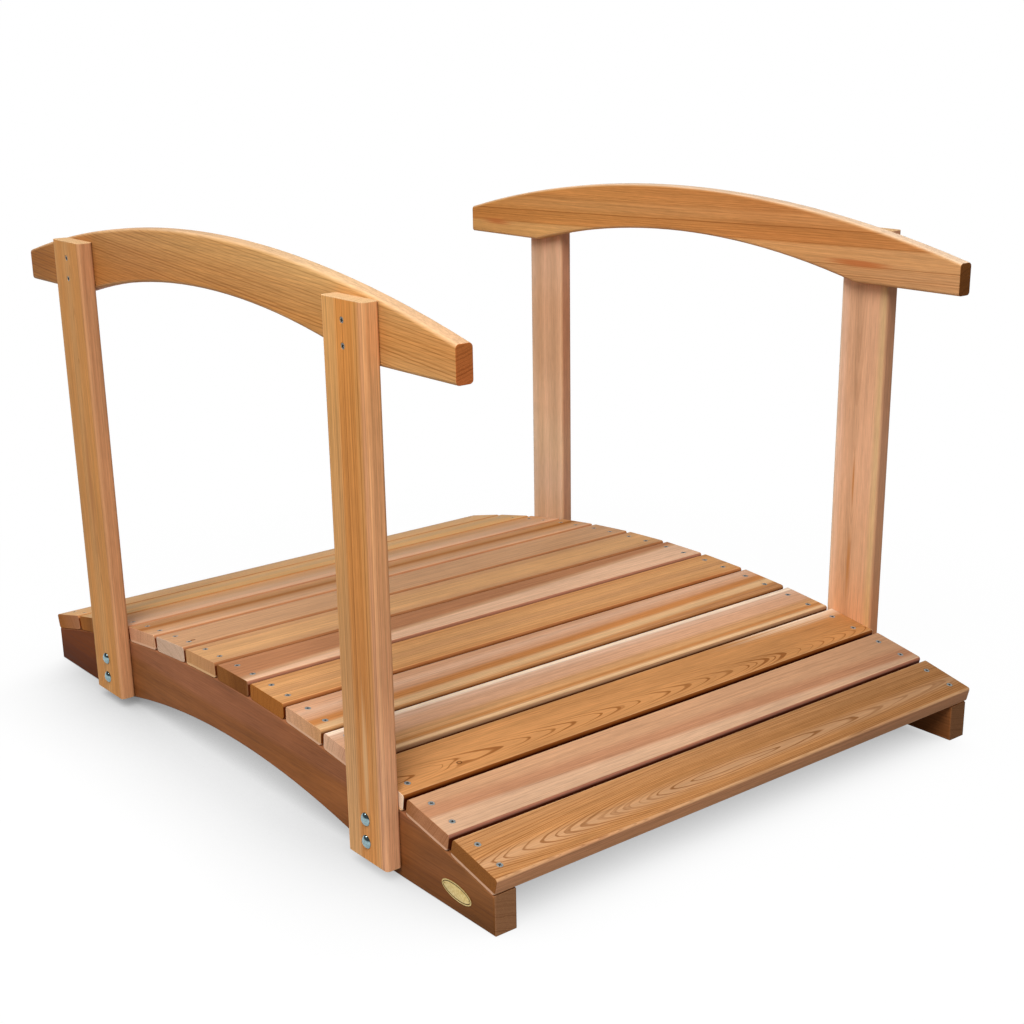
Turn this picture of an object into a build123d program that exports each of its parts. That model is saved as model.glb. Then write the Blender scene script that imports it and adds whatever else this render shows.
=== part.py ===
from build123d import *
import os
from math import asin, degrees

# A low arched cedar footbridge: two arched side beams on flat feet, a slatted deck that follows
# their top arc, four posts outside the beams and two arched handrails inside the posts.
# Millimetres. +X runs along the span to the front end, -Y is the left side, +Z is up, and the
# origin is on the ground under the middle of the deck.

# Deck
deck_width = 908.0              # slat length, and outer face to outer face of the beams
slat_width = 88.9
slat_thickness = 23.8
slat_edge_radius = 4.0
smallest_slat_gap = 5.5         # the slats spread evenly over the beams, with at least this between them

# Side beams
beam_length = 1219.2
beam_thickness = 35.0
beam_end_height = 55.0
beam_crown_height = 132.0
beam_crown_depth = 84.0         # from arch to top at mid-span
foot_length = 225.0             # flat foot at each end
beam_edge_radius = 3.0

# Posts
post_width = 88.9               # along the span
post_thickness = 23.8
post_height = 740.0             # top above the ground
post_foot_gap = 15.0            # post's lower end above the ground
post_spacing = 748.0            # centre to centre along the span
post_edge_radius = 5.0

# Handrails
rail_length = 1124.0
rail_thickness = 23.8
rail_base_height = 662.5        # flat tails above the ground
rail_end_depth = 46.0
rail_crown_height = 779.5
rail_crown_depth = 72.0
rail_tail_length = 191.0        # flat tail at each end
rail_edge_radius = 5.0

# Worked out from the sizes above
half_width = deck_width / 2
beam_rise = beam_crown_height - beam_end_height
beam_top_radius = ((beam_length / 2) ** 2 + beam_rise ** 2) / (2 * beam_rise)
beam_top_centre = beam_crown_height - beam_top_radius
deck_run = 2 * beam_top_radius * asin(beam_length / 2 / beam_top_radius)
slat_count = int((deck_run + smallest_slat_gap) // (slat_width + smallest_slat_gap))
slat_step = (deck_run - slat_width) / (slat_count - 1)


def arched_board(length, base_z, end_depth, crown_z, crown_depth, tail_length, thickness, edge_radius,
                 rounded_ends):
    """A board sawn to a long arc on top and, between two flat tails, a second arc below.

    It stands in the XZ plane, centred on Y = 0. Its long edges are rounded, and the upright edges
    of its ends too where rounded_ends is true.
    """
    half_length = length / 2
    half_arch = half_length - tail_length
    with BuildPart() as board:
        with BuildSketch(Plane.XZ):
            with BuildLine():
                Line((-half_length, base_z), (-half_length, base_z + end_depth))
                ThreePointArc((-half_length, base_z + end_depth), (0, crown_z),
                              (half_length, base_z + end_depth))
                Line((half_length, base_z + end_depth), (half_length, base_z))
                Line((half_length, base_z), (half_arch, base_z))
                ThreePointArc((half_arch, base_z), (0, crown_z - crown_depth), (-half_arch, base_z))
                Line((-half_arch, base_z), (-half_length, base_z))
            make_face()
        extrude(amount=thickness / 2, both=True)
        outline_edges = board.faces().filter_by(Axis.Y).edges()
        if not rounded_ends:
            outline_edges = outline_edges - outline_edges.filter_by(Axis.Z)
        fillet(outline_edges, radius=edge_radius)
    return board.part


def straight_board(width, thickness, length, edge_radius):
    """A planed board with rounded long edges: width on X, thickness on Y, length up from Z = 0."""
    with BuildPart() as board:
        with BuildSketch():
            RectangleRounded(width, thickness, edge_radius)
        extrude(amount=length)
    return board.part


def side_beam(side):
    beam = arched_board(beam_length, 0, beam_end_height, beam_crown_height, beam_crown_depth,
                        foot_length, beam_thickness, beam_edge_radius, rounded_ends=True)
    return Pos(0, side * (half_width - beam_thickness / 2), 0) * beam


def handrail(side):
    rail = arched_board(rail_length, rail_base_height, rail_end_depth, rail_crown_height, rail_crown_depth,
                        rail_tail_length, rail_thickness, rail_edge_radius, rounded_ends=False)
    return Pos(0, side * (half_width - rail_thickness / 2), 0) * rail


def post(side, end):
    board = straight_board(post_width, post_thickness, post_height - post_foot_gap, post_edge_radius)
    return Pos(end * post_spacing / 2, side * (half_width + post_thickness / 2), post_foot_gap) * board


def deck_slat(place):
    """One slat, lying flat across both beams and tangent to their top arc; place 0 is the front slat."""
    board = straight_board(slat_width, slat_thickness, deck_width, slat_edge_radius)
    across = Pos(0, half_width, slat_thickness / 2) * Rot(90, 0, 0)
    steps_from_crown = (slat_count - 1) / 2 - place
    turn = degrees(steps_from_crown * slat_step / beam_top_radius)
    return Pos(0, 0, beam_top_centre) * Rot(0, turn, 0) * Pos(0, 0, beam_top_radius) * across * board


left, right = -1, 1
front, back = 1, -1
pieces = {"left_beam": side_beam(left), "right_beam": side_beam(right)}
for place in range(slat_count):
    pieces[f"deck_slat_{place + 1:02d}"] = deck_slat(place)
for side_name, side in (("left", left), ("right", right)):
    for end_name, end in (("front", front), ("back", back)):
        pieces[f"{side_name}_{end_name}_post"] = post(side, end)
    pieces[f"{side_name}_handrail"] = handrail(side)

os.makedirs("parts", exist_ok=True)
for name, solid in pieces.items():
    export_step(solid, f"parts/{name}.step")
print(f"{len(pieces)} pieces, {slat_count} slats {slat_step:.2f} mm apart on a {beam_top_radius:.0f} mm arc")
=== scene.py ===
import math
import random
import bmesh
import bpy
from mathutils import Euler, Matrix, Vector


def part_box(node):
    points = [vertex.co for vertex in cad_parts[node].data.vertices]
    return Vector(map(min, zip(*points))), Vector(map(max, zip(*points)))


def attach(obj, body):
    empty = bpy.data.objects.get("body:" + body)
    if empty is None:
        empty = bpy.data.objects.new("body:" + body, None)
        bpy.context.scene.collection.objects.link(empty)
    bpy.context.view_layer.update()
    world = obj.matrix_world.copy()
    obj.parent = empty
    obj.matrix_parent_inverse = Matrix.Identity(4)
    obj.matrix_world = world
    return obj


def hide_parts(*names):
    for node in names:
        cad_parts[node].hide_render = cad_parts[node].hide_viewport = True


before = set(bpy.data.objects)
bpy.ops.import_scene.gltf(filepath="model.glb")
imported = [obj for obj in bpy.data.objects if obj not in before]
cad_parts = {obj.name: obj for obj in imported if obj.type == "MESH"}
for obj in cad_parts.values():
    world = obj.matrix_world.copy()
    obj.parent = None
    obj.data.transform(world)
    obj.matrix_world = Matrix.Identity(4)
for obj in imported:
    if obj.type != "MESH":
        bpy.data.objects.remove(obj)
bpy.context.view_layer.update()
scene = bpy.context.scene
scene.view_settings.view_transform = "Standard"
mm = 0.001
hair = 1e-6   # metres; places this close count as one
random.seed(11)
print("frame loaded,", len(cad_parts), "nodes")

# cedar tones as they read on screen, 0 to 255
cedarTones = {
    "cream": (242, 214, 184), "blush": (238, 190, 158), "shell": (228, 174, 136),
    "straw": (222, 180, 132), "rose": (218, 174, 142), "pink": (211, 160, 123),
    "clay": (211, 151, 111), "gold": (209, 154, 100), "bone": (206, 172, 146),
    "wheat": (200, 147, 98), "honey": (200, 140, 86), "salmon": (199, 142, 107),
    "ginger": (198, 132, 75), "fawn": (193, 147, 111), "amber": (190, 126, 70),
    "brick": (190, 128, 95), "tan": (189, 137, 94), "ochre": (184, 130, 84),
    "rust": (180, 100, 52), "olive": (177, 118, 68), "umber": (171, 116, 80),
    "cinnamon": (162, 99, 44), "madder": (150, 95, 64), "bark": (138, 86, 42),
    "peat": (120, 72, 34), "walnut": (108, 64, 28), "stain": (146, 91, 52),
    "darkStain": (128, 77, 40), "sawnStain": (147, 103, 70), "sawnDark": (122, 83, 54),
}


def linearTone(tone):
    # screen value to the linear value a shader takes
    def oneChannel(value):
        share = value / 255
        return share / 12.92 if share <= 0.04045 else ((share + 0.055) / 1.055) ** 2.4
    return (*(oneChannel(value) for value in tone), 1)


def grey(share):
    return (share, share, share, 1)


class Wire:
    # one shader socket; plain maths on it adds Math nodes
    def __init__(self, tree, socket=None):
        self.tree = tree
        self.socket = socket

    def node(self, kind, settings=None, inputs=None, output=0):
        made = self.tree.nodes.new("ShaderNode" + kind)
        for setting, value in (settings or {}).items():
            if setting == "stops":
                ramp = made.color_ramp
                while len(ramp.elements) < len(value):
                    ramp.elements.new(0.5)
                while len(ramp.elements) > len(value):
                    ramp.elements.remove(ramp.elements[-1])
                for element, (place, colour) in zip(ramp.elements, value):
                    element.position = place
                    element.color = colour
            elif setting == "blend":
                made.color_ramp.interpolation = value
            else:
                setattr(made, setting, value)
        for place, value in (inputs or {}).items():
            if isinstance(value, Wire):
                self.tree.links.new(value.socket, made.inputs[place])
            else:
                made.inputs[place].default_value = value
        return Wire(self.tree, made.outputs[output])

    def maths(self, operation, first, second=0.0):
        return self.node("Math", {"operation": operation}, {0: first, 1: second})

    def __add__(self, other):
        return self.maths("ADD", self, other)

    def __radd__(self, other):
        return self.maths("ADD", other, self)

    def __sub__(self, other):
        return self.maths("SUBTRACT", self, other)

    def __rsub__(self, other):
        return self.maths("SUBTRACT", other, self)

    def __mul__(self, other):
        return self.maths("MULTIPLY", self, other)

    def __rmul__(self, other):
        return self.maths("MULTIPLY", other, self)

    def __truediv__(self, other):
        return self.maths("DIVIDE", self, other)

    def __pow__(self, other):
        return self.maths("POWER", self, other)

    def __abs__(self):
        return self.maths("ABSOLUTE", self)

    def step(self, low, high):
        # 0 below low, 1 above high, eased between
        return self.node("MapRange", {"interpolation_type": "SMOOTHSTEP"},
                         {"Value": self, "From Min": low, "From Max": high})

    def near(self, face, depths):
        # 0 deeper under a face than the first depth, 1 less deep than the second
        return self.step(face - depths[0], face - depths[1])

    def ramp(self, stops, blend="LINEAR"):
        return self.node("ValToRGB", {"stops": stops, "blend": blend}, {0: self})

    def mix(self, first, second):
        # this wire is the share of the second colour
        return self.node("Mix", {"data_type": "RGBA"}, {0: self, 6: first, 7: second}, 2)

    def tinted(self, tint, share=1.0):
        # this colour times a tint, as far as the share goes
        tint = tint if isinstance(tint, Wire) else (*tint, 1)
        return self.node("Mix", {"data_type": "RGBA", "blend_type": "MULTIPLY"},
                         {0: share, 6: self, 7: tint}, 2)

    def noise(self, detail=2.0, roughness=0.5):
        return self.node("TexNoise", None,
                         {"Vector": self, "Scale": 1.0, "Detail": detail, "Roughness": roughness})

    def stretched(self, *lengths):
        # a vector divided by one length for each axis
        return self.node("VectorMath", {"operation": "DIVIDE"}, {0: self, 1: lengths})

    def scaled(self, share):
        return self.node("VectorMath", {"operation": "SCALE"}, {0: self, "Scale": share})

    def parts(self):
        split = self.node("SeparateXYZ", None, {0: self})
        return [Wire(self.tree, outlet) for outlet in split.socket.node.outputs]


def newMaterial(name, shaderKind="BsdfPrincipled"):
    material = bpy.data.materials.new(name)
    material.use_nodes = True
    tree = material.node_tree
    tree.nodes.clear()
    shader = tree.nodes.new("ShaderNode" + shaderKind)
    output = tree.nodes.new("ShaderNodeOutputMaterial")
    tree.links.new(shader.outputs[0], output.inputs[0])
    return material, Wire(tree), shader


def feed(shader, sockets):
    # constants go on the shader's own sockets, wires are linked
    for place, value in sockets.items():
        if isinstance(value, Wire):
            value.tree.links.new(value.socket, shader.inputs[place])
        else:
            shader.inputs[place].default_value = value


# how all the cedar is finished, and where light and shade are painted on it; lengths in millimetres
cedar = {
    # the grain's slow and fine bends: how long and wide, and how far they reach, the fine ones in rings
    "slowWander": (620, 60, 60), "slowReach": 7.0, "fineWander": (120, 14, 14), "fineReach": 0.3,
    "bendEase": 70, "bandWander": 0.6,
    # growth rings: how many wide growth lasts, where the dark part is full and ends, how years differ
    "growthYears": 5, "lineFull": 0.88, "lineEnd": 0.94, "yearSpread": 0.75, "lineFade": 0.75,
    "streakSize": (380, 2.2, 2.2), "fibreSize": (60, 0.9, 0.9), "fleckSize": (24, 2.6, 2.6),
    "mottleSize": (210, 36, 36), "speckleSize": (9, 1.0, 1.0),
    "lightness": 1.03, "fibres": 0.42, "flecks": 0.36,
    # what the dark part of a ring, the painted shade in the gaps between boards and a ring at the ends do to
    # the tone
    "lateTint": (0.54, 0.42, 0.31), "gapShadeTint": (0.30, 0.14, 0.06), "endLateTint": (0.62, 0.54, 0.46),
    "endLines": 0.7,
    # where marks and painted light and shade start and are full, in roundings of the long edges
    "arrisStep": (0.0, 0.45), "sideStep": (0.4, 0.95), "topLightStep": (0.35, 0.95), "gapShadeDeepStep": (0.95, 1.5),
    "frontEdgeShadeDepth": (0.7, 0.4),
    # and as depths under a face
    "gapShadeDepth": (0.8, 0.1), "outerFaceLightDepth": (3, 1), "endDepth": (1.2, 0.4), "lowDepth": (4.4, 3.0),
    "lowEndDepth": (3.4, 1.8),
    # length to width, squared, of the rings' bend at a knot and of the knot; the rest in knot sizes
    "knotFlow": 8, "knotLength": 1.8, "knotReach": 4, "rimStep": (0.85, 1.3), "coreStep": (0.4, 0.75),
    "knotRim": (92, 50, 22), "knotCore": (178, 118, 66), "rimShare": 0.85,
    "smearStep": (0.2, 1.15), "smearFray": 1.4, "wearAndSheenPatches": (0.36, 0.62), "wearAndSheenLeast": 0.25,
    "roughness": 0.55, "roughSpread": 0.2, "specular": 0.05, "bump": 0.3, "bumpDepth": 0.14 * mm,
}

# a board's look where it says nothing else; smears are (along, across, half length, half width), knots
# (along, across, size) and heart, the tree's centre line, (across, through)
plainLook = {
    "ring": 3.6, "lines": 0.45, "ends": ["straw"], "wander": 1.0, "lean": 0, "taper": 0, "uneven": 3,
    "seed": 0, "lineFrom": 0.55, "evenYears": 0.25, "sideFade": 0.6, "bandLean": 0, "tint": (1, 1, 1),
    "mottle": 0.36, "streaks": 0.8, "smears": [], "smearShare": 0.6, "knots": [], "edgeWearAndSheen": 0.4,
    "edgeWearAndSheenTone": "straw", "gapShades": (0, 0), "frontEdgeShadeTint": (0.72, 0.52, 0.42),   # painted shade on a slat's front edge
}


def arcHeight(x, halfSpan, endHeight, crownHeight):
    # x may be a number or a wire
    rise = crownHeight - endHeight
    radius = (halfSpan ** 2 + rise ** 2) / (2 * rise)
    return (radius ** 2 - x * x) ** 0.5 + (crownHeight - radius)


def boardTone(name):
    return linearTone(cedarTones[name])


def evenStops(tones):
    last = max(1, len(tones) - 1)
    return [(count / last, boardTone(tone)) for count, tone in enumerate(tones)]


def lightStops(shares):
    # a plain number lights the three channels alike
    return [(place, (*light, 1) if isinstance(light, tuple) else grey(light)) for place, light in shares]


def cedarMaterial(name, place, size, look, radius, arch=None):
    # place turns and moves a board that lies along X, is wide on Y and thick on Z
    look = {**plainLook, **look}
    material, start, shader = newMaterial(name)
    length, width, thickness, rounding = (side / mm for side in (*size, radius))
    halfLength, halfWidth, halfThick = length / 2, width / 2, thickness / 2

    def roundings(shares):
        return [rounding * share for share in cedar[shares]]

    spot = start.node("TexCoord", None, None, "Object")
    local = start.node("Mapping", {"vector_type": "TEXTURE"}, {
        "Vector": spot, "Location": place.translation, "Rotation": place.to_euler(), "Scale": (mm, mm, mm)})
    along, across, through = local.parts()
    shifted = local.node("VectorMath", {"operation": "ADD"}, {0: local, 1: look["drift"]})

    # growth rings round the tree's centre line; a taper draws them out into pointed loops
    slow = shifted.stretched(*cedar["slowWander"]).noise(1.0) - 0.5
    fine = shifted.stretched(*cedar["fineWander"]).noise(2.0) - 0.5
    ring = look["ring"]
    wander = slow * (2 * cedar["slowReach"] * look["wander"]) + fine * (2 * cedar["fineReach"] * ring)
    heartAcross, heartThrough = look["heart"]
    fromAcross = across - heartAcross - along * look["lean"]
    fromThrough = through - heartThrough
    ringRadius = (fromAcross * fromAcross + fromThrough * fromThrough) ** 0.5 + wander
    ringRadius = ringRadius + along * look["taper"]
    if "bend" in look:
        bendFrom, bendTaper = look["bend"]
        beyond = along - bendFrom
        eased = (beyond * beyond + cedar["bendEase"] ** 2) ** 0.5 + beyond
        ringRadius = ringRadius + eased * (bendTaper / 2)
    for knotAlong, knotAcross, knotSize in look["knots"]:
        away = ((along - knotAlong) ** 2 / cedar["knotFlow"] + (across - knotAcross) ** 2) ** 0.5
        ringRadius = ringRadius + (1 - away.step(0, knotSize * cedar["knotReach"])) * knotSize
    growth = ringRadius.node("TexNoise", {"noise_dimensions": "1D"},
                             {"W": ringRadius / (ring * cedar["growthYears"]), "Detail": 1.0})
    rings = (ringRadius + (growth - 0.5) * (ring * look["uneven"])) / ring
    saw = rings.maths("FRACT", rings)
    year = rings.maths("FLOOR", rings)
    yearTone = year.node("TexWhiteNoise", {"noise_dimensions": "1D"}, {"W": year + look["seed"]})
    late = saw.step(look["lineFrom"], cedar["lineFull"]) * (1 - saw.step(cedar["lineEnd"], 1.0))
    late = late * (look["evenYears"] + cedar["yearSpread"] * yearTone)
    if "lineReach" in look:
        late = late * (1 - abs(fromAcross).step(*look["lineReach"]) * cedar["lineFade"])

    # how far a point is into the rounding of the long edges
    if arch:
        top = arcHeight(along, arch["half"], arch["base"] + arch["endDepth"], arch["crown"])
        under = arcHeight(along, arch["halfArch"], arch["base"], arch["crown"] - arch["crownDepth"])
        under = under.maths("MAXIMUM", under, arch["base"])
        edgeAcross = across.maths("MAXIMUM", across - top + rounding, under + rounding - across)
    else:
        edgeAcross = abs(across) - (halfWidth - rounding)
    edgeThrough = abs(through) - (halfThick - rounding)
    arris = edgeAcross.maths("MINIMUM", edgeAcross, edgeThrough).step(*roundings("arrisStep"))
    onSide = edgeAcross.step(*roundings("sideStep"))
    late = late * (1 - onSide * look["sideFade"])   # fainter on the narrow faces

    # the board's own bands of colour, from one long edge to the other
    bandPlace = (across + wander * cedar["bandWander"]) / width + along * (look["bandLean"] / length) + 0.5
    tone = bandPlace.ramp([(share, boardTone(band)) for share, band in look["bands"]], "EASE")
    if "lengthLight" in look:
        lengthPlace = along / length + 0.5
        tone = tone.tinted(lengthPlace.ramp(lightStops(look["lengthLight"]), "EASE"))
    mottle = shifted.stretched(*cedar["mottleSize"]).noise(3.0, 0.55)
    streak = shifted.stretched(*cedar["streakSize"]).noise(3.0, 0.6)
    fibre = shifted.stretched(*cedar["fibreSize"]).noise(2.0, 0.6)
    fleck = shifted.stretched(*cedar["fleckSize"]).noise(2.0, 0.6)
    tone = tone.tinted(look["tint"])
    # painted light: the right posts' tint makes up for light on the inner face; the outer face gets its own
    # tint
    if "outerFaceLightTint" in look:
        outer = through.near(halfThick, cedar["outerFaceLightDepth"])
        tone = tone.tinted(look["outerFaceLightTint"], outer)
    # painted light: the handrails' tops are painted paler, standing in for the light and sheen from above
    if "topLightTone" in look:
        paintedTopLight = (across - top + rounding).step(*roundings("topLightStep")) * look["topLightShare"]
        tone = paintedTopLight.mix(tone, boardTone(look["topLightTone"]))
    light = cedar["lightness"] + (mottle - 0.5) * look["mottle"] + (streak - 0.5) * look["streaks"]
    light = light + (fibre - 0.5) * cedar["fibres"] + (fleck - 0.5) * cedar["flecks"]
    tone = tone.scaled(light).tinted(cedar["lateTint"], late * look["lines"])

    # smears of other heartwood or sapwood
    for smearAlong, smearAcross, halfLong, halfWide in look["smears"]:
        away = (((along - smearAlong) / halfLong) ** 2 + ((across - smearAcross) / halfWide) ** 2) ** 0.5
        frayed = away + (streak - 0.5) * cedar["smearFray"]
        smear = (1 - frayed.step(*cedar["smearStep"])) * look["smearShare"]
        tone = smear.mix(tone, boardTone(look["smearTone"]))

    # knots: a dark rim round a paler core
    for knotAlong, knotAcross, knotSize in look["knots"]:
        away = ((along - knotAlong) ** 2 / cedar["knotLength"] + (across - knotAcross) ** 2) ** 0.5 + fine * 2
        inKnot = away / knotSize
        rim = (1 - inKnot.step(*cedar["rimStep"])) * cedar["rimShare"]
        core = 1 - inKnot.step(*cedar["coreStep"])
        tone = rim.mix(tone, linearTone(cedar["knotRim"]))
        tone = core.mix(tone, linearTone(cedar["knotCore"]))

    # long edges: paler on the rounding from wear and a painted highlight; painted shade in gaps between
    # boards
    patches = mottle.step(*cedar["wearAndSheenPatches"]) * (1 - cedar["wearAndSheenLeast"]) + cedar["wearAndSheenLeast"]
    wornAndLitEdge = arris * patches * look["edgeWearAndSheen"]
    tone = wornAndLitEdge.mix(tone, boardTone(look["edgeWearAndSheenTone"]))
    backGapShade, frontGapShade = look["gapShades"]
    # painted shade: the front edge's rounding and the narrow faces deep in the gaps between slats are
    # darkened
    if backGapShade or frontGapShade:
        edge = across.near(halfWidth, roundings("frontEdgeShadeDepth")) * frontGapShade
        tone = tone.tinted(look["frontEdgeShadeTint"], edge)
        frontSideShade = across.near(halfWidth, cedar["gapShadeDepth"]) * frontGapShade
        backSideShade = (0 - across).near(halfWidth, cedar["gapShadeDepth"]) * backGapShade
        deepGapShade = (halfThick - through).step(*roundings("gapShadeDeepStep"))
        tone = tone.tinted(cedar["gapShadeTint"], (frontSideShade + backSideShade) * deepGapShade)

    # sawn ends show the rings and drink more finish
    endShare = abs(along).near(halfLength, cedar["endDepth"])
    speckle = shifted.stretched(*cedar["speckleSize"]).noise(2.0, 0.6)
    endTone = bandPlace.ramp(evenStops(look["ends"])).scaled(0.5 + speckle)
    endTone = endTone.tinted(cedar["endLateTint"], late * cedar["endLines"])
    tone = endShare.mix(tone, endTone)
    if "endLow" in look:
        lowEdge = (0 - through).near(halfThick, cedar["lowDepth"])
        lowEdge = lowEdge * abs(along).near(halfLength, cedar["lowEndDepth"]) * (0.6 + 0.4 * mottle)
        tone = lowEdge.mix(tone, boardTone(look["endLow"]))

    rough = cedar["roughness"] + (streak - 0.5) * cedar["roughSpread"] - late * 0.05
    rough = rough + endShare * cedar["roughSpread"]
    height = fibre * 0.6 + streak * 0.5 - late * 0.7 + endShare * speckle * 0.8
    bump = height.node("Bump", None, {"Strength": cedar["bump"], "Distance": cedar["bumpDepth"],
                                      "Height": height})
    feed(shader, {"Base Color": tone, "Roughness": rough, "Normal": bump,
                  "Specular IOR Level": cedar["specular"]})
    return material


def roundEdges(bm, edges, radius, segments):
    bmesh.ops.bevel(bm, geom=edges, offset=radius, offset_type="OFFSET", segments=segments, profile=0.5,
                    affect="EDGES", material=-1, clamp_overlap=True)


def onEnds(edge, length):
    return all(abs(abs(vert.co.x) - length / 2) < hair for vert in edge.verts)


def endCorners(bm, length):
    # the edges round a board's ends that still are sharp
    return [edge for edge in bm.edges if onEnds(edge, length) and edge.calc_face_angle(0) > 1]


def straightBoard(size, longRadius, endRadius, lowRadius=0):
    # a planed board along X, wide on Y, thick on Z; lowRadius eases the lower edge of its ends
    length, width, thickness = size
    bm = bmesh.new()
    bmesh.ops.create_cube(bm, size=1)
    bmesh.ops.scale(bm, vec=size, verts=bm.verts)
    longEdges = [edge for edge in bm.edges if edge.calc_length() > length * 0.9]
    roundEdges(bm, longEdges, longRadius, segments=5)
    endEdges = [edge for edge in bm.edges if onEnds(edge, length)]
    if lowRadius:
        lowEdges = [edge for edge in endEdges if all(vert.co.z < hair - thickness / 2 for vert in edge.verts)]
        roundEdges(bm, lowEdges, lowRadius, segments=3)
        endEdges = endCorners(bm, length)
    roundEdges(bm, endEdges, endRadius, segments=2)
    return bm


def archedBoard(board, endRadius):
    # a board along X, thick on Z, sawn to one arc on top and one below between flat tails
    half = board["length"] / 2
    halfArch = half - board["tail"]
    bm = bmesh.new()
    bmesh.ops.create_cube(bm, size=1)
    bmesh.ops.scale(bm, vec=(board["length"], 1, board["thickness"]), verts=bm.verts)
    cuts = [halfArch * (2 * step / board["archCuts"] - 1) for step in range(board["archCuts"] + 1)]
    for side in (-1, 1):
        for step in range(1, board["tailCuts"]):
            cuts.append(side * (halfArch + board["tail"] * step / board["tailCuts"]))
    for cut in cuts:
        geometry = bm.verts[:] + bm.edges[:] + bm.faces[:]
        bmesh.ops.bisect_plane(bm, geom=geometry, plane_co=(cut, 0, 0), plane_no=(1, 0, 0))
    for vert in bm.verts:
        x = vert.co.x
        if vert.co.y > 0:
            vert.co.y = arcHeight(x, half, board["base"] + board["endDepth"], board["crown"])
        elif abs(x) < halfArch:
            vert.co.y = arcHeight(x, halfArch, board["base"], board["crown"] - board["crownDepth"])
        else:
            vert.co.y = board["base"]
    bm.normal_update()
    outline = [edge for edge in bm.edges if sum(abs(face.normal.z) > 0.9 for face in edge.link_faces) == 1]
    if not board["roundEnds"]:
        outline = [edge for edge in outline if not onEnds(edge, board["length"])]
    roundEdges(bm, outline, board["radius"], segments=5)
    bm.normal_update()
    endEdges = endCorners(bm, board["length"])
    if board["roundEnds"]:
        endEdges = [edge for edge in endEdges if abs(edge.verts[0].co.z - edge.verts[1].co.z) > 2 * mm]
    roundEdges(bm, endEdges, endRadius, segments=2)
    return bm


def addPiece(name, bm, material, place=Matrix(), smooth=32):
    bmesh.ops.transform(bm, matrix=place, verts=bm.verts)
    bmesh.ops.remove_doubles(bm, verts=bm.verts, dist=hair)
    bmesh.ops.recalc_face_normals(bm, faces=bm.faces)
    mesh = bpy.data.meshes.new(name)
    bm.to_mesh(mesh)
    bm.free()
    mesh.shade_smooth()
    mesh.set_sharp_from_angle(angle=math.radians(smooth))
    mesh.materials.append(material)
    piece = bpy.data.objects.new(name, mesh)
    scene.collection.objects.link(piece)
    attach(piece, "root")
    return piece


def cutAway(bm, cutter):
    # one boolean cut, done at once
    holders = []
    for shape in (bm, cutter):
        mesh = bpy.data.meshes.new("cutting")
        shape.to_mesh(mesh)
        shape.free()
        holders.append(bpy.data.objects.new("cutting", mesh))
        scene.collection.objects.link(holders[-1])
    body, tool = holders
    cut = body.modifiers.new("cut", "BOOLEAN")
    cut.operation = "DIFFERENCE"
    cut.solver = "EXACT"
    cut.object = tool
    done = bpy.data.meshes.new_from_object(body.evaluated_get(bpy.context.evaluated_depsgraph_get()))
    result = bmesh.new()
    result.from_mesh(done)
    for used in holders:
        bpy.data.objects.remove(used)
    return result


def addBoard(node, bm, material, place):
    piece = addPiece(node + "_board", bm, material, place)
    level = piece.modifiers.new("flat faces", "WEIGHTED_NORMAL")
    level.keep_sharp = True
    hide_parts(node)


def raised(height):
    return Matrix.Translation((0, 0, height))


def middle(node):
    low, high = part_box(node)
    return (low + high) / 2


def extent(node):
    low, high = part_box(node)
    return high - low


# side beams and handrails: local X is the span, Y is up and Z points to the left side
beamBoard = {"endDepth": 55 * mm, "crownDepth": 84 * mm, "tail": 225 * mm, "radius": 3 * mm,
             "roundEnds": True, "archCuts": 24, "tailCuts": 5}
railBoard = {"endDepth": 46 * mm, "crownDepth": 72 * mm, "tail": 191 * mm, "radius": 5 * mm,
             "roundEnds": False, "archCuts": 24, "tailCuts": 5}
endRounding = 0.9 * mm

beamLooks = {
    "left_beam": {
        "bands": [(0.0, "peat"), (0.18, "darkStain"), (0.36, "stain"), (0.58, "stain"), (0.7, "madder"),
                  (1.0, "madder")],
        "lengthLight": [(0.0, (0.49, 0.28, 0.02)), (0.145, (0.53, 0.32, 0.03)), (0.2, (0.97, 0.98, 0.98)),
                        (0.34, 1.0), (0.5, (0.9, 0.88, 0.87)), (0.66, (0.96, 0.92, 0.83)),
                        (0.8, (0.9, 0.88, 0.84)), (0.9, (0.79, 0.78, 0.8)), (0.98, (0.71, 0.74, 0.72))],
        "tint": (0.94, 0.94, 0.92), "heart": (-150, 40), "ring": 6.0, "lines": 0.3, "streaks": 0.6,
        "mottle": 1.1, "ends": ["sawnStain"], "edgeWearAndSheen": 0.3, "edgeWearAndSheenTone": "umber", "drift": (90, 7, 3)},
    "right_beam": {
        "bands": [(0.0, "darkStain"), (0.5, "stain"), (1.0, "darkStain")],
        "heart": (140, -30), "ring": 5.2, "lines": 0.3, "streaks": 0.9, "mottle": 0.7,
        "ends": ["sawnDark"], "edgeWearAndSheen": 0.3, "edgeWearAndSheenTone": "umber", "drift": (510, 33, 8)},
}
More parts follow.
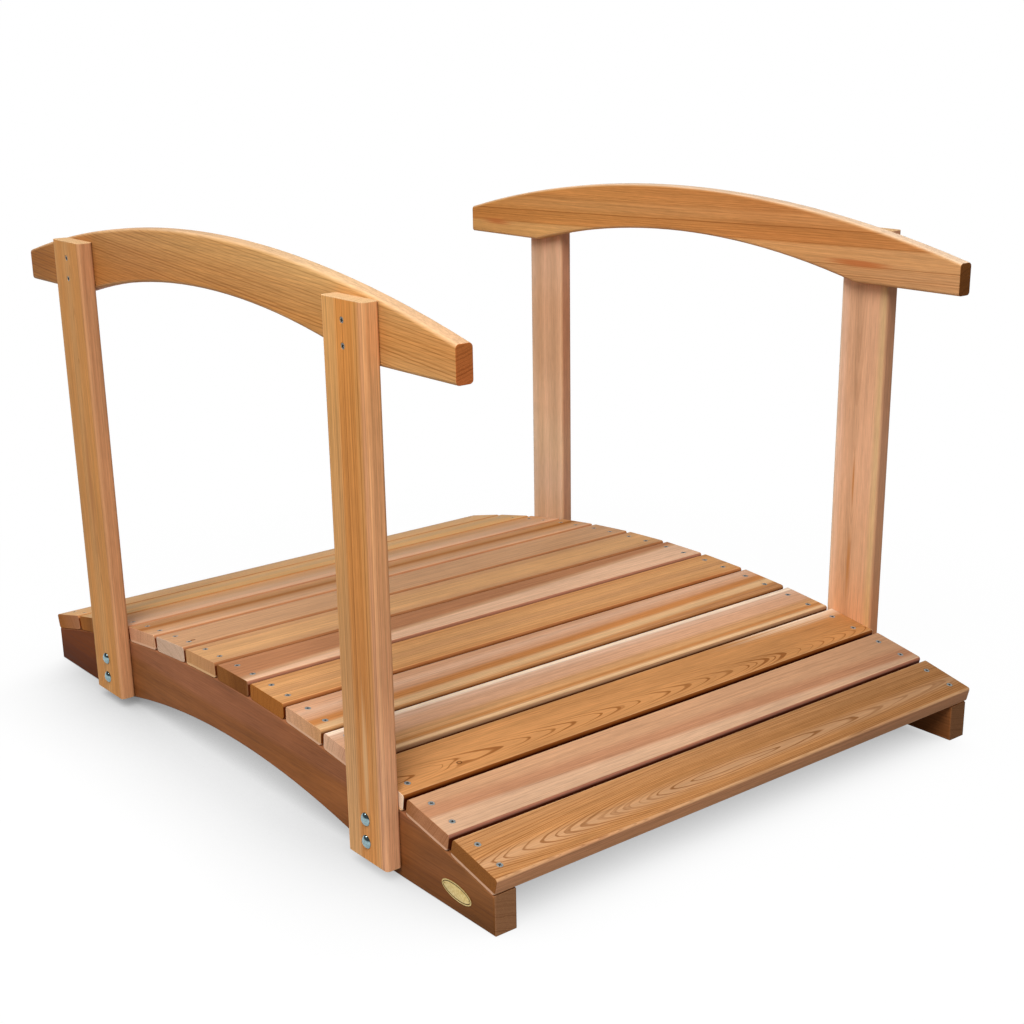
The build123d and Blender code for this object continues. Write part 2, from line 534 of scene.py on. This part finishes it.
railLooks = {
    "left_handrail": {
        "bands": [(0.0, "honey"), (0.3, "ginger"), (0.6, "honey"), (0.85, "gold"), (1.0, "gold")],
        "lengthLight": [(0.0, (0.5, 0.44, 0.36)), (0.12, (0.6, 0.53, 0.44)), (0.3, (0.74, 0.69, 0.64)),
                        (0.5, (0.79, 0.77, 0.7)), (0.8, (0.88, 0.94, 0.93)), (1.0, (0.92, 0.97, 1.0))],
        "tint": (1.03, 1.07, 1.02), "heart": (240, 70), "lean": -0.085, "ring": 4.2, "lines": 0.6,
        "uneven": 1.0, "evenYears": 0.5, "streaks": 0.7, "wander": 0.3, "ends": ["rust", "cinnamon"],
        "edgeWearAndSheen": 0.35, "topLightTone": "cream", "topLightShare": 0.36, "sideFade": 0.9, "drift": (250, 90, 17)},
    "right_handrail": {
        "bands": [(0.0, "wheat"), (0.22, "gold"), (0.32, "gold"), (0.37, "ginger"), (0.5, "amber"),
                  (0.66, "honey"), (0.85, "ginger"), (1.0, "ginger")], "bandLean": -0.29,
        "lengthLight": [(0.0, (0.87, 0.85, 0.7)), (0.3, (0.9, 0.94, 0.88)), (0.5, (0.885, 0.9, 0.87)),
                        (0.7, (0.83, 0.8, 0.76)), (0.95, (0.845, 0.845, 0.865))],
        "tint": (1.09, 1.09, 1.08), "heart": (-230, -70), "lean": 0.03, "ring": 3.2, "lines": 0.7,
        "streaks": 0.6, "wander": 0.4, "smears": [(380, -30, 66, 6.5), (-488, -35, 48, 6.5)],
        "smearTone": "rust", "smearShare": 0.8, "ends": ["walnut", "bark"], "edgeWearAndSheen": 0.35,
        "topLightTone": "cream", "topLightShare": 0.76, "sideFade": 0.9, "drift": (840, 140, 29)},
}


def addArchedBoard(node, sizes, look):
    low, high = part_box(node)
    centreHeight = (low.z + high.z) / 2
    board = dict(sizes, length=high.x - low.x, thickness=high.y - low.y, base=low.z, crown=high.z)
    turned = Matrix.Rotation(math.pi / 2, 4, "X")
    place = Matrix.Translation((0, (low.y + high.y) / 2, 0)) @ turned
    grain = Matrix.Translation((0, (low.y + high.y) / 2, centreHeight)) @ turned
    half = board["length"] / 2
    arch = {"half": half, "halfArch": half - board["tail"], "base": low.z - centreHeight,
            "crown": high.z - centreHeight, "endDepth": board["endDepth"], "crownDepth": board["crownDepth"]}
    arch = {part: value / mm for part, value in arch.items()}
    size = (board["length"], high.z - low.z, board["thickness"])
    material = cedarMaterial(node + "_cedar", grain, size, look, board["radius"], arch)
    addBoard(node, archedBoard(board, endRounding), material, place)


for node, look in beamLooks.items():
    addArchedBoard(node, beamBoard, look)
for node, look in railLooks.items():
    addArchedBoard(node, railBoard, look)
print("beams and handrails made")

# screws are sunk into the posts and slats
screw = {"shankRadius": 1.9 * mm, "headDepth": 2.6 * mm, "sink": 0.35 * mm, "slotDepth": 1.7 * mm,
         "slotTaper": (0.55, 0.8, 1), "recessShadeFrom": 0.15 * mm, "edge": 0.25 * mm, "holeSlack": 0.3 * mm,
         "overcut": 0.02 * mm, "sides": 20}
deckScrew = dict(screw, headRadius=4.5 * mm, holeRadius=5.0 * mm, slotLength=6.0 * mm, slotWidth=1.6 * mm)
railScrew = dict(screw, headRadius=4.0 * mm, holeRadius=4.5 * mm, slotLength=6.2 * mm, slotWidth=1.9 * mm)


def countersink(places, kind):
    # cones that open to the hole's width at the wood's surface; each place's Z points out of the wood
    bm = bmesh.new()
    depth = kind["headDepth"] + kind["sink"]
    sunken = raised(kind["overcut"] - depth / 2)
    for place in places:
        bmesh.ops.create_cone(bm, cap_ends=True, cap_tris=False, segments=kind["sides"],
                              radius1=kind["shankRadius"] + kind["holeSlack"], radius2=kind["holeRadius"],
                              depth=depth, matrix=place @ sunken)
    return bm


# posts: local X is up, Y is the span and Z points to the right side
post = {"radius": 5 * mm, "screwHeights": (715 * mm, 684.5 * mm), "boltHeights": (74 * mm, 42 * mm)}
postLooks = {
    "left_front_post": {
        "bands": [(0.0, "wheat"), (0.30, "wheat"), (0.40, "ginger"), (0.68, "ginger"), (0.82, "honey"),
                  (0.94, "salmon"), (1.0, "clay")],
        "lengthLight": [(0.0, 1.0), (0.18, (0.89, 0.9, 0.93)), (0.36, (0.77, 0.74, 0.7)),
                        (0.62, (0.83, 0.79, 0.69)), (0.95, (0.91, 0.86, 0.69))],
        "tint": (1.15, 1.21, 1.21), "heart": (150, 70), "lean": 0.012, "ring": 4.0, "lines": 0.8,
        "wander": 0.4, "smears": [(-222, 6, 100, 6.5)], "smearTone": "straw", "edgeWearAndSheen": 0.1,
        "drift": (60, 20, 41)},
    "left_back_post": {
        "bands": [(0.0, "wheat"), (0.25, "honey"), (0.5, "wheat"), (0.72, "honey"), (0.9, "honey"),
                  (1.0, "salmon")],
        "lengthLight": [(0.0, 1.0), (0.5, 0.96), (0.7, 0.9), (1.0, 0.88)],
        "tint": (1.0, 0.99, 0.84), "heart": (10, -40), "taper": 0.02, "ring": 2.4, "lines": 0.4,
        "wander": 0.3, "smears": [(-12, 6, 130, 10)], "smearTone": "olive", "smearShare": 0.8,
        "edgeWearAndSheen": 0.1, "drift": (330, 60, 55)},
    "right_front_post": {
        "bands": [(0.0, "cream"), (0.09, "blush"), (0.24, "shell"), (0.42, "pink"), (0.6, "shell"),
                  (0.78, "shell"), (0.94, "straw"), (1.0, "salmon")],
        "lengthLight": [(0.0, (0.96, 0.8, 0.64)), (0.13, (0.94, 0.82, 0.68)), (0.31, (0.86, 0.88, 0.86)),
                        (0.5, (0.85, 0.87, 0.89)), (0.7, 0.78), (0.8, 0.74), (0.9, 0.82)],
        "tint": (1.06, 1.08, 1.08), "outerFaceLightTint": (1.06, 0.93, 0.78), "heart": (-4, -34), "taper": -0.02,
        "ring": 2.2, "lines": 0.25, "wander": 0.3, "streaks": 0.3,
        "smears": [(-160, -4, 70, 4.5), (-28, -3, 54, 3.6)], "smearTone": "amber", "smearShare": 0.9,
        "edgeWearAndSheen": 0.2, "drift": (710, 10, 68)},
    "right_back_post": {
        "bands": [(0.0, "rose"), (0.3, "pink"), (0.5, "shell"), (0.75, "pink"), (0.95, "shell"),
                  (1.0, "brick")],
        "lengthLight": [(0.0, (0.89, 0.81, 0.7)), (0.17, (0.92, 0.87, 0.77)), (0.26, (0.96, 0.96, 0.92)),
                        (0.37, (1.0, 1.0, 0.91)), (0.48, (1.0, 0.93, 0.82)), (0.6, (0.91, 0.8, 0.67)),
                        (0.71, (0.92, 0.79, 0.66)), (0.83, (0.95, 0.86, 0.77)), (0.9, (1.12, 1.0, 0.9))],
        "tint": (0.94, 1.13, 1.34), "outerFaceLightTint": (1.12, 0.9, 0.72), "heart": (-30, 150), "lean": 0.01,
        "lines": 0.2, "wander": 0.6, "streaks": 0.35, "edgeWearAndSheen": 0.2, "drift": (940, 50, 77)},
}
upright = Matrix(((0, 1, 0), (0, 0, 1), (1, 0, 0))).to_4x4()
railScrews = []
for node, look in postLooks.items():
    span, side, tall = extent(node)
    size = (tall, span, side)
    place = Matrix.Translation(middle(node)) @ upright
    material = cedarMaterial(node + "_cedar", place, size, look, post["radius"])
    outwards = Matrix.Rotation(math.pi, 4, "X") if node.startswith("left") else Matrix()
    outerFace = outwards @ raised(side / 2)
    screws = [Matrix.Translation((height - middle(node).z, 0, 0)) @ outerFace
              for height in post["screwHeights"]]
    board = cutAway(straightBoard(size, post["radius"], endRounding), countersink(screws, railScrew))
    addBoard(node, board, material, place)
    railScrews += [place @ spot for spot in screws]
print("posts made")

# deck slats: local X runs to the left side, Y to the front end and Z is up; number 1 is at the front
slat = {"radius": 4 * mm, "lowEnd": 2.6 * mm, "screwFromEnd": 22 * mm, "screwFromMiddle": 22 * mm}
slatLooks = [
    {"bands": [(0.05, "tan"), (0.45, "ochre"), (0.65, "fawn"), (0.85, "ochre"), (0.95, "ochre"),
               (1.0, "salmon")],
     "lengthLight": [(0.0, 0.72), (0.25, 0.8), (0.5, 0.9), (0.75, 1.0), (1.0, 1.0)],
     "tint": (1.0, 0.99, 0.88), "heart": (13, -33.5), "taper": -0.011, "bend": (91, 0.055), "ring": 1.8,
     "lines": 1.3, "lineFrom": 0.62, "wander": 0.2, "ends": ["bark"], "endLow": "rose"},
    {"bands": [(0.05, "pink"), (0.36, "pink"), (0.56, "salmon"), (0.66, "salmon"), (0.76, "rose"),
               (1.0, "rose")], "bandLean": 0.35,
     "lengthLight": [(0.0, 0.86), (0.3, 0.94), (0.6, 1.0)],
     "tint": (0.86, 0.87, 0.84), "frontEdgeShadeTint": (0.6, 0.39, 0.4), "heart": (150, -60), "ring": 3.4,
     "lines": 0.35, "streaks": 0.6, "ends": ["bark", "umber", "umber"], "endLow": "rose"},
    {"bands": [(0.0, "honey"), (1.0, "honey")], "smears": [(-425, -46, 240, 24)], "smearTone": "cream",
     "smearShare": 1.0, "knots": [(346, 17.5, 3.0)],
     "lengthLight": [(0.0, (0.9, 0.87, 0.83)), (0.3, 0.9), (0.7, 0.95), (0.9, 1.0)],
     "tint": (0.97, 0.98, 0.97), "frontEdgeShadeTint": (0.36, 0.19, 0.08), "heart": (21, -3), "lean": -0.024,
     "taper": -0.14, "bend": (-190, 0.065), "ring": 3.4, "lines": 1.05, "lineFrom": 0.7,
     "lineReach": (5, 18), "uneven": 1.5, "evenYears": 0.6, "wander": 0.25, "mottle": 0.6, "streaks": 0.6,
     "ends": ["cinnamon", "olive", "cream"], "endLow": "straw"},
    {"bands": [(0.04, "cream"), (0.09, "cream"), (0.17, "rose"), (0.36, "pink"), (0.5, "pink"),
               (0.64, "wheat"), (0.75, "gold"), (0.83, "amber"), (0.87, "honey"), (0.92, "straw"),
               (0.98, "straw")],
     "tint": (0.97, 0.99, 1.04), "frontEdgeShadeTint": (0.54, 0.45, 0.43), "heart": (170, -50), "ring": 3.8,
     "lines": 0.3, "wander": 0.5, "ends": ["rose", "salmon"], "endLow": "rose"},
    {"bands": [(0.07, "pink"), (0.24, "rose"), (0.42, "pink"), (0.56, "ginger"), (0.64, "ginger"),
               (0.75, "straw"), (0.84, "straw"), (0.95, "honey"), (1.0, "ochre")], "bandLean": -0.26,
     "tint": (0.94, 0.92, 0.92), "frontEdgeShadeTint": (0.82, 0.7, 0.58), "heart": (-170, -50),
     "lines": 0.3, "wander": 0.5, "ends": ["pink", "wheat"], "endLow": "rose"},
    {"bands": [(0.0, "honey"), (0.3, "gold"), (0.55, "wheat"), (0.75, "gold"), (1.0, "honey")],
     "heart": (160, -30), "lines": 0.5, "ends": ["cinnamon"]},
    {"bands": [(0.0, "umber"), (0.42, "umber"), (0.54, "fawn"), (0.62, "rose"), (1.0, "rose")],
     "bandLean": -0.57, "tint": (1.05, 1.07, 1.06), "frontEdgeShadeTint": (0.6, 0.4, 0.37), "heart": (-160, -40),
     "lines": 0.3, "wander": 0.6, "ends": ["bark", "peat", "peat", "pink"]},
    {"bands": [(0.0, "tan"), (0.4, "wheat"), (0.7, "wheat"), (1.0, "tan")], "tint": (1.09, 1.17, 1.23),
     "heart": (150, -40), "lines": 0.5, "ends": ["wheat", "tan"], "endLow": "straw"},
    {"bands": [(0.0, "fawn")], "tint": (1.1, 1.11, 1.06), "knots": [(424, 20, 3.0)],
     "heart": (-60, -100), "lean": 0.02, "ring": 3.8, "ends": ["bone"]},
    {"bands": [(0.0, "tan"), (0.25, "ochre"), (0.4, "cinnamon"), (0.6, "tan"), (0.8, "fawn"), (1.0, "pink")],
     "tint": (1.11, 1.15, 1.16), "heart": (160, -60), "ring": 3.8, "ends": ["salmon", "pink"],
     "endLow": "rose"},
    {"bands": [(0.0, "honey"), (0.35, "tan"), (0.6, "fawn"), (1.0, "pink")], "tint": (1.15, 1.24, 1.32),
     "heart": (-150, -50), "ring": 3.8, "ends": ["olive", "ochre"]},
    {"bands": [(0.0, "honey"), (0.4, "tan"), (0.7, "honey"), (1.0, "honey")], "tint": (1.25, 1.5, 1.54),
     "heart": (150, -50), "ends": ["cinnamon", "bark", "wheat"]},
    {"bands": [(0.0, "tan"), (0.5, "honey"), (1.0, "honey")], "tint": (1.3, 1.6, 1.9),
     "heart": (-130, -50), "ring": 3.8, "ends": ["cinnamon", "umber"]},
]
crownSlat = extent("deck_slat_07")
slatSize = (crownSlat.y, crownSlat.x, crownSlat.z)
beamSize = extent("left_beam")
beamRise = beamSize.z - beamBoard["endDepth"]
beamTopRadius = ((beamSize.x / 2) ** 2 + beamRise ** 2) / (2 * beamRise)


def screwSpots(size):
    # four places on a slat's top, in its own axes
    for end in (-1, 1):
        for side in (-1, 1):
            spot = (end * (size[0] / 2 - slat["screwFromEnd"]), side * slat["screwFromMiddle"], size[2] / 2)
            yield Matrix.Translation(spot)


slatPlaces = []
lastSlat = len(slatLooks) - 1
for count, look in enumerate(slatLooks):
    node = f"deck_slat_{count + 1:02d}"
    centre = middle(node)
    turn = math.asin(centre.x / (beamTopRadius + slatSize[2] / 2))
    place = Matrix.Translation(centre) @ Matrix.Rotation(turn, 4, "Y") @ Matrix.Rotation(-math.pi / 2, 4, "Z")
    look["drift"] = (count * 731, count * 57, count * 23)   # no two slats share their grain
    look["seed"] = count * 40
    # which sides get painted shade in the gaps: the back where a slat follows, the front where one comes
    # before
    look["gapShades"] = (int(count < lastSlat), int(count > 0))
    material = cedarMaterial(node + "_cedar", place, slatSize, look, slat["radius"])
    board = straightBoard(slatSize, slat["radius"], endRounding, slat["lowEnd"])
    board = cutAway(board, countersink(screwSpots(slatSize), deckScrew))
    addBoard(node, board, material, place)
    slatPlaces.append(place)
print("slats made,", len(slatLooks))


metal = {"patches": (0.3, 0.7), "roughSpread": 0.12, "bump": 0.1, "bumpDepth": 0.03 * mm}


def metalMaterial(name, tone, deepTone, roughness, grainSize, metallic=1.0):
    material, start, shader = newMaterial(name)
    spot = start.node("TexCoord", None, None, "Object")
    grain = spot.stretched(grainSize, grainSize, grainSize).noise(3.0, 0.6)
    tint = grain.step(*metal["patches"]).mix(linearTone(deepTone), linearTone(tone))
    rough = roughness + (grain - 0.5) * metal["roughSpread"]
    bump = grain.node("Bump", None, {"Strength": metal["bump"], "Distance": metal["bumpDepth"],
                                     "Height": grain})
    feed(shader, {"Base Color": tint, "Roughness": rough, "Normal": bump, "Metallic": metallic})
    return material


zinc = metalMaterial("bright_zinc", (158, 182, 184), (132, 156, 162), 0.16, 2.2 * mm)
paleZinc = metalMaterial("pale_zinc", (180, 186, 184), (142, 148, 148), 0.4, 1.6 * mm, metallic=0.35)
dullZinc = metalMaterial("dull_zinc", (138, 140, 134), (100, 102, 98), 0.35, 1.6 * mm, metallic=0.5)
# near-black zinc for the screws' recesses: painted shade
recessShadeZinc = metalMaterial("recess_shade_zinc", (52, 50, 46), (36, 34, 32), 0.5, 1.6 * mm, metallic=0.4)
brass = metalMaterial("brass", (230, 208, 148), (206, 178, 110), 0.42, 3.2 * mm)
dullBrass = metalMaterial("dull_brass", (112, 84, 42), (88, 64, 30), 0.5, 2.4 * mm)


def onlyVerts(geometry):
    return [part for part in geometry if isinstance(part, bmesh.types.BMVert)]


def closeHoles(bm):
    bmesh.ops.holes_fill(bm, edges=[edge for edge in bm.edges if edge.is_boundary], sides=0)


def screwHead(kind):
    # a sunk head with a cross recess, its top at Z = 0
    bm = bmesh.new()
    bmesh.ops.create_cone(bm, cap_ends=True, cap_tris=False, segments=kind["sides"],
                          radius1=kind["shankRadius"], radius2=kind["headRadius"], depth=kind["headDepth"],
                          matrix=raised(-kind["headDepth"] / 2))
    topEdges = [edge for edge in bm.edges if all(vert.co.z > -hair for vert in edge.verts)]
    roundEdges(bm, topEdges, kind["edge"], segments=2)
    for turn in (0, math.pi / 2):
        blade = bmesh.new()
        bmesh.ops.create_cube(blade, size=1)
        bladeSize = (kind["slotLength"], kind["slotWidth"], kind["slotDepth"] * 2)
        bmesh.ops.scale(blade, vec=bladeSize, verts=blade.verts)
        tips = [vert for vert in blade.verts if vert.co.z < 0]
        bmesh.ops.scale(blade, vec=kind["slotTaper"], verts=tips)
        bmesh.ops.rotate(blade, cent=(0, 0, 0), matrix=Matrix.Rotation(turn, 3, "Z"), verts=blade.verts)
        bm = cutAway(bm, blade)
    bm.normal_update()
    for face in bm.faces:
        centre = face.calc_center_median()
        facesIn = face.normal.xy.dot(centre.xy) <= 0.1 * centre.xy.length
        if centre.z < -kind["recessShadeFrom"] and facesIn:
            face.material_index = 1   # the recess is painted dark: painted shade
    return bm


def copies(shape, places):
    # one mesh that holds a copy of the shape at each place
    mesh = bpy.data.meshes.new("copies")
    shape.to_mesh(mesh)
    shape.free()
    bm = bmesh.new()
    for place in places:
        before = len(bm.verts)
        bm.from_mesh(mesh)
        bm.verts.ensure_lookup_table()
        bmesh.ops.transform(bm, matrix=place, verts=bm.verts[before:])
    return bm


def spun(place):
    # a random turn for each fastener, about its own axis
    return place @ Matrix.Rotation(random.uniform(0, math.pi / 2), 4, "Z")


sunk = raised(-screw["sink"])
deckScrews = [spun(place @ spot @ sunk) for place in slatPlaces for spot in screwSpots(slatSize)]
railScrews = [spun(place @ sunk) for place in railScrews]
deckHeads = addPiece("deck_screws", copies(screwHead(deckScrew), deckScrews), paleZinc)
railHeads = addPiece("rail_screws", copies(screwHead(railScrew), railScrews), dullZinc)
for heads in (deckHeads, railHeads):
    heads.data.materials.append(recessShadeZinc)

# each post carries two bolts through the beam
bolt = {"headRadius": 9.3 * mm, "headHeight": 5.2 * mm, "rim": 0.7 * mm, "sides": 28, "domeRings": 48,
        "washerRadius": 11 * mm, "washer": 1.6 * mm, "washerEdge": 0.3 * mm, "nutAcross": 12.7 * mm,
        "nutHeight": 6.7 * mm, "nutEdge": 0.8 * mm, "shankRadius": 3.9 * mm, "shankSides": 20,
        "proud": 5 * mm, "pitch": 1.4 * mm, "threadWaist": 0.86, "threadSunk": 0.2 * mm}


def boltHead():
    # a shallow dome on a short rim, its underside at Z = 0
    domeHeight = bolt["headHeight"] - bolt["rim"]
    domeRadius = (bolt["headRadius"] ** 2 + domeHeight ** 2) / (2 * domeHeight)
    bm = bmesh.new()
    bmesh.ops.create_uvsphere(bm, u_segments=bolt["sides"], v_segments=bolt["domeRings"], radius=domeRadius,
                              matrix=raised(bolt["headHeight"] - domeRadius))
    geometry = bm.verts[:] + bm.edges[:] + bm.faces[:]
    bmesh.ops.bisect_plane(bm, geom=geometry, plane_co=(0, 0, bolt["rim"]), plane_no=(0, 0, 1),
                           clear_inner=True)
    border = [edge for edge in bm.edges if edge.is_boundary]
    wall = bmesh.ops.extrude_edge_only(bm, edges=border)["geom"]
    bmesh.ops.translate(bm, vec=(0, 0, -bolt["rim"]), verts=onlyVerts(wall))
    closeHoles(bm)
    return bm


def boltNut():
    # washer, six-sided nut and the bolt's threaded end, standing on Z = 0
    bm = bmesh.new()
    bmesh.ops.create_cone(bm, cap_ends=True, segments=bolt["sides"], radius1=bolt["washerRadius"],
                          radius2=bolt["washerRadius"], depth=bolt["washer"],
                          matrix=raised(bolt["washer"] / 2))
    corners = [edge for edge in bm.edges if edge.calc_face_angle(0) > 1]
    roundEdges(bm, corners, bolt["washerEdge"], segments=2)
    corner = bolt["nutAcross"] / math.sqrt(3)
    top = bolt["washer"] + bolt["nutHeight"]
    before = len(bm.edges)
    bmesh.ops.create_cone(bm, cap_ends=True, segments=6, radius1=corner, radius2=corner,
                          depth=bolt["nutHeight"], matrix=raised(bolt["washer"] + bolt["nutHeight"] / 2))
    bm.edges.ensure_lookup_table()
    rim = [edge for edge in bm.edges[before:] if all(abs(vert.co.z - top) < hair for vert in edge.verts)]
    roundEdges(bm, rim, bolt["nutEdge"], segments=1)
    circle = bmesh.ops.create_circle(bm, cap_ends=False, segments=bolt["shankSides"],
                                     radius=bolt["shankRadius"], matrix=raised(top - bolt["threadSunk"]))
    ring = circle["verts"]
    for turn in range(int(bolt["proud"] / bolt["pitch"]) * 2):
        edges = [edge for edge in bm.edges if all(vert in ring for vert in edge.verts)]
        ring = onlyVerts(bmesh.ops.extrude_edge_only(bm, edges=edges)["geom"])
        bmesh.ops.translate(bm, vec=(0, 0, bolt["pitch"] / 2), verts=ring)
        swell = bolt["threadWaist"] if turn % 2 == 0 else 1 / bolt["threadWaist"]
        bmesh.ops.scale(bm, vec=(swell, swell, 1), verts=ring)
    closeHoles(bm)
    return bm


boltHeads, boltNuts = [], []
for node in postLooks:
    low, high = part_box(node)
    side = -1 if node.startswith("left") else 1
    beamLow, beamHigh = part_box("left_beam" if side < 0 else "right_beam")
    outer = low.y if side < 0 else high.y
    inner = beamHigh.y if side < 0 else beamLow.y
    outwards = Matrix.Rotation(-side * math.pi / 2, 4, "X")
    inwards = Matrix.Rotation(side * math.pi / 2, 4, "X")
    x = (low.x + high.x) / 2
    for height in post["boltHeights"]:
        boltHeads.append(Matrix.Translation((x, outer, height)) @ outwards)
        boltNuts.append(spun(Matrix.Translation((x, inner, height)) @ inwards))
addPiece("bolt_heads", copies(boltHead(), boltHeads), zinc, smooth=50)
addPiece("bolt_nuts", copies(boltNut(), boltNuts), zinc)
print("fasteners made,", len(deckScrews) + len(railScrews), "screws and", len(boltHeads), "bolts")

# a bare oval plate on the left beam, by the front foot
plate = {"long": 60 * mm, "tall": 23 * mm, "thick": 0.9 * mm, "edge": 0.3 * mm, "edgeRise": 0.1 * mm,
         "rim": 1.2 * mm, "groove": 1.4 * mm, "grooveDepth": 0.35 * mm, "sides": 64, "x": 535 * mm,
         "z": 29.5 * mm, "turn": math.radians(6), "pinOut": 25.2 * mm, "pin": 1.4 * mm, "pinFlat": 0.6}


def ovalPlate():
    bm = bmesh.new()
    bmesh.ops.create_circle(bm, cap_ends=True, segments=plate["sides"], radius=0.5)
    bmesh.ops.scale(bm, vec=(plate["long"], plate["tall"], 1), verts=bm.verts)
    grown = bmesh.ops.extrude_face_region(bm, geom=bm.faces[:])["geom"]
    bmesh.ops.translate(bm, vec=(0, 0, plate["thick"]), verts=onlyVerts(grown))
    top = [part for part in grown if isinstance(part, bmesh.types.BMFace)]
    bmesh.ops.inset_region(bm, faces=top, thickness=plate["edge"], depth=plate["edgeRise"])
    bmesh.ops.inset_region(bm, faces=top, thickness=plate["rim"], depth=0.0)
    for depth in (-plate["grooveDepth"], plate["grooveDepth"]):
        walls = bmesh.ops.inset_region(bm, faces=top, thickness=plate["groove"] / 2, depth=depth)["faces"]
        for wall in walls:
            wall.material_index = 1
    return bm


def platePins():
    bm = bmesh.new()
    for side in (-1, 1):
        spot = Matrix.Translation((side * plate["pinOut"], 0, plate["thick"]))
        bmesh.ops.create_uvsphere(bm, u_segments=16, v_segments=10, radius=plate["pin"],
                                  matrix=spot @ Matrix.Diagonal((1, 1, plate["pinFlat"], 1)))
    return bm


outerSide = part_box("left_beam")[0].y
platePlace = (Matrix.Translation((plate["x"], outerSide, plate["z"])) @ Matrix.Rotation(plate["turn"], 4, "Y")
              @ Matrix.Rotation(math.pi / 2, 4, "X"))
addPiece("oval_plate", ovalPlate(), brass, platePlace, smooth=50).data.materials.append(dullBrass)
addPiece("plate_pins", platePins(), brass, platePlace, smooth=60)
print("plate made")

# camera at the photograph's place
view = {"from": (1.9809, -1.5089, 1.0369), "azimuth": 51.526, "elevation": 18.688, "roll": -0.937,
        "sensor": 36, "lens": 57.853, "shiftY": 0.0664}
viewer = bpy.data.objects.new("camera", bpy.data.cameras.new("camera"))
viewer.data.sensor_width = view["sensor"]
viewer.data.lens = view["lens"]
viewer.data.shift_y = view["shiftY"]
aim = Euler((math.radians(90 - view["elevation"]), 0, math.radians(view["azimuth"]))).to_matrix()
aim = aim @ Matrix.Rotation(math.radians(view["roll"]), 3, "Z")
viewer.matrix_world = Matrix.Translation(view["from"]) @ aim.to_4x4()
scene.collection.objects.link(viewer)
scene.camera = viewer

# studio: one big soft lamp on the left, and a small weak one for the glint on the bolts
lamps = {
    "key": {"at": (1.94, -2.39, 3.65), "to": (0.05, 0.0, 0.2), "size": 2.8, "power": 196.0,
            "mirrored": False},
    "spark": {"at": (-0.91, -2.02, 1.71), "to": (0.2, -0.48, 0.06), "size": 0.26, "power": 6.0,
              "mirrored": True},
}
for name, lamp in lamps.items():
    light = bpy.data.lights.new(name, "AREA")
    light.shape = "DISK"
    light.size = lamp["size"]
    light.energy = lamp["power"]
    holder = bpy.data.objects.new(name, light)
    holder.location = lamp["at"]
    holder.rotation_euler = (Vector(lamp["to"]) - Vector(lamp["at"])).to_track_quat("-Z", "Y").to_euler()
    holder.visible_glossy = lamp["mirrored"]
    scene.collection.objects.link(holder)


def rayKinds(start):
    # camera rays, and the rays that leave a mirror or a glass
    path = start.node("LightPath", None, None, "Is Camera Ray")
    outlets = path.socket.node.outputs
    glossy = Wire(path.tree, outlets["Is Glossy Ray"])
    passing = Wire(path.tree, outlets["Is Transmission Ray"])
    return path, path.maths("MINIMUM", glossy + passing, 1.0)


# an even dome; mirrored rays see a darker ceiling above the white backdrop
dome = {"light": 0.38, "ceiling": 0.10, "ceilingRise": (0.06, 0.22)}
world = bpy.data.worlds.new("studio")
scene.world = world
world.use_nodes = True
sky = world.node_tree.nodes["Background"]
air = Wire(world.node_tree)
camera, mirrored = rayKinds(air)
up = air.node("TexCoord", None, None, "Generated").parts()[2]
backdrop = 1 - up.step(*dome["ceilingRise"]) * (1 - dome["ceiling"])
brightness = camera * (1 - dome["light"]) + mirrored * (backdrop - dome["light"]) + dome["light"]
feed(sky, {"Color": (1, 1, 1, 1), "Strength": brightness})

# a white floor that keeps a soft shadow, thinner to the right, the back and the front; each pair is where
# that starts and is full, in metres from the middle
ground = {"radius": 30.0, "sides": 64, "bounce": 0.30, "shadowReach": 0.22, "shadowPower": 1.35,
          "shadowTone": 0.12, "castShare": 0.03, "fade": (0.80, 1.4),
          "right": (0.40, 0.46), "rightThin": 0.9, "back": (0.5, 0.62), "backThin": 0.75,
          "footAlong": (0.15, 0.5), "footAcross": (0.36, 0.47), "footThin": 0.5,
          "front": (0.44, 0.7), "frontThin": 0.97}


def floorMaterial():
    # white where nothing stands near; the camera sees the contact shadow and a little of the cast one
    material, start, shown = newMaterial("floor", "MixShader")
    camera, mirrored = rayKinds(start)
    direct = camera.maths("MINIMUM", camera + mirrored, 1.0)
    spot = start.node("TexCoord", None, None, "Object")
    away = spot.node("VectorMath", {"operation": "LENGTH"}, {0: spot}, "Value")
    unshaded = start.node("AmbientOcclusion", {"samples": 16}, {"Distance": ground["shadowReach"]}, "AO")
    x, y = spot.parts()[:2]
    right = y.step(*ground["right"]) * ground["rightThin"]
    back = (0 - x).step(*ground["back"]) * ground["backThin"]
    foot = x.step(*ground["footAlong"]) * (0 - y).step(*ground["footAcross"]) * ground["footThin"]
    front = x.step(*ground["front"]) * ground["frontThin"]
    shadow = (1 - unshaded) ** ground["shadowPower"]
    for thin in (right, back, foot, front):
        shadow = shadow * (1 - thin)
    white = start.node("Emission", None, {"Color": grey(1.0), "Strength": 1.0})
    dark = start.node("Emission", None, {"Color": grey(ground["shadowTone"]), "Strength": 1.0})
    bounce = start.node("BsdfDiffuse", None, {"Color": grey(ground["bounce"])})
    cast = start.node("BsdfDiffuse", None, {"Color": grey(1.0)})
    contact = start.node("MixShader", None, {0: shadow, 1: white, 2: dark})
    near = start.node("MixShader", None, {0: ground["castShare"], 1: contact, 2: cast})
    seen = start.node("MixShader", None, {0: away.step(*ground["fade"]), 1: near, 2: white})
    feed(shown, {0: direct, 1: bounce, 2: seen})
    return material


floorShape = bmesh.new()
bmesh.ops.create_circle(floorShape, cap_ends=True, segments=ground["sides"], radius=ground["radius"])
floorMesh = bpy.data.meshes.new("floor")
floorShape.to_mesh(floorMesh)
floorShape.free()
floorMesh.materials.append(floorMaterial())
floor = bpy.data.objects.new("floor", floorMesh)
scene.collection.objects.link(floor)
print("studio made")
